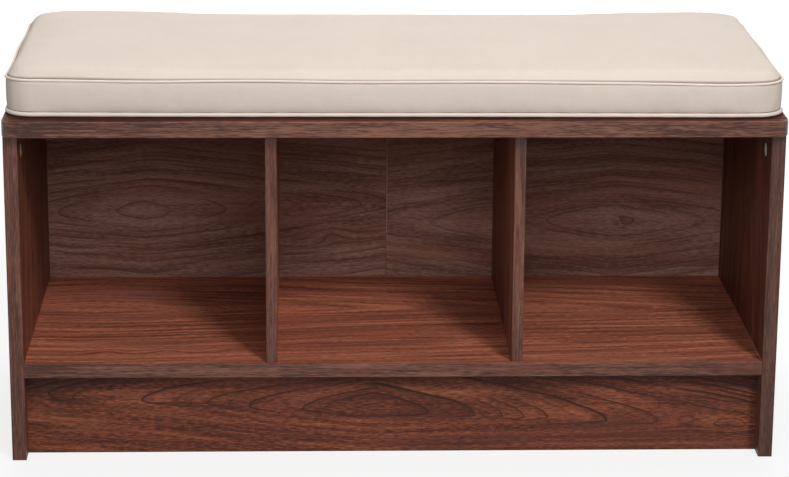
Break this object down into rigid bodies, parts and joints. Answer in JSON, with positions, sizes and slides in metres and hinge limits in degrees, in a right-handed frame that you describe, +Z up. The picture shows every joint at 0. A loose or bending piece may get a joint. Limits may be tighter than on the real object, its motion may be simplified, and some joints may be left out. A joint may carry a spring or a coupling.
{
  "type": "storage bench",
  "caption": "Wide low bench of dark laminated board with open cubbies in a row and a lift-off piped box cushion as its seat.",
  "frame": {"origin": "on the floor, under the middle of the bench", "axes": "+X to the right seen from the front, along the bench; +Y from the open front to the back; +Z up"},
  "size_m": [0.867, 0.368, 0.4552],
  "materials": {
    "veneer": "dark red-brown wood-grain laminate, satin",
    "edging": "grey-brown wood-grain edge band, satin",
    "hardboard": "dark brown printed hardboard, satin",
    "tape": "thin matt tape",
    "zinc": "bright zinc plate",
    "beech": "bare beech",
    "hook": "woven hook tape",
    "loop": "woven loop tape",
    "cover": "smooth cream canvas",
    "piping": "cream canvas over cord",
    "foam": "open-cell foam",
    "zip": "cream zip tape"
  },
  "bodies": {
    "bench": {"top_panel": "veneer", "left_side_panel": "veneer", "right_side_panel": "veneer", "left_divider": "veneer", "right_divider": "veneer", "bottom_shelf": "veneer", "kick_board": "veneer", "top_edge_band": "edging", "left_side_edge_band": "edging", "right_side_edge_band": "edging", "left_divider_edge_band": "edging", "right_divider_edge_band": "edging", "shelf_edge_band": "edging", "back_panel_left": "hardboard", "back_panel_right": "hardboard", "back_fold_tape": "tape", "top_cam_locks": "zinc", "top_cam_bolts": "zinc", "top_dowels": "beech", "shelf_cam_locks": "zinc", "shelf_cam_bolts": "zinc", "shelf_dowels": "beech", "kick_cam_locks": "zinc", "kick_cam_bolts": "zinc", "kick_dowels": "beech", "divider_dowels": "beech", "divider_screws": "zinc", "back_nails": "zinc", "hook_strips": "hook"},
    "cushion": {"loop_strips": "loop", "cushion_bottom_panel": "cover", "cushion_boxing": "cover", "cushion_top_panel": "cover", "lower_piping": "piping", "upper_piping": "piping", "cushion_foam": "foam", "cushion_zip": "zip"}
  },
  "joints": [
    {"name": "cushion_lift", "type": "slide", "parent": "bench", "child": "cushion", "axis": [0, 0, 1], "range_m": [0, 0.12]}
  ]
}
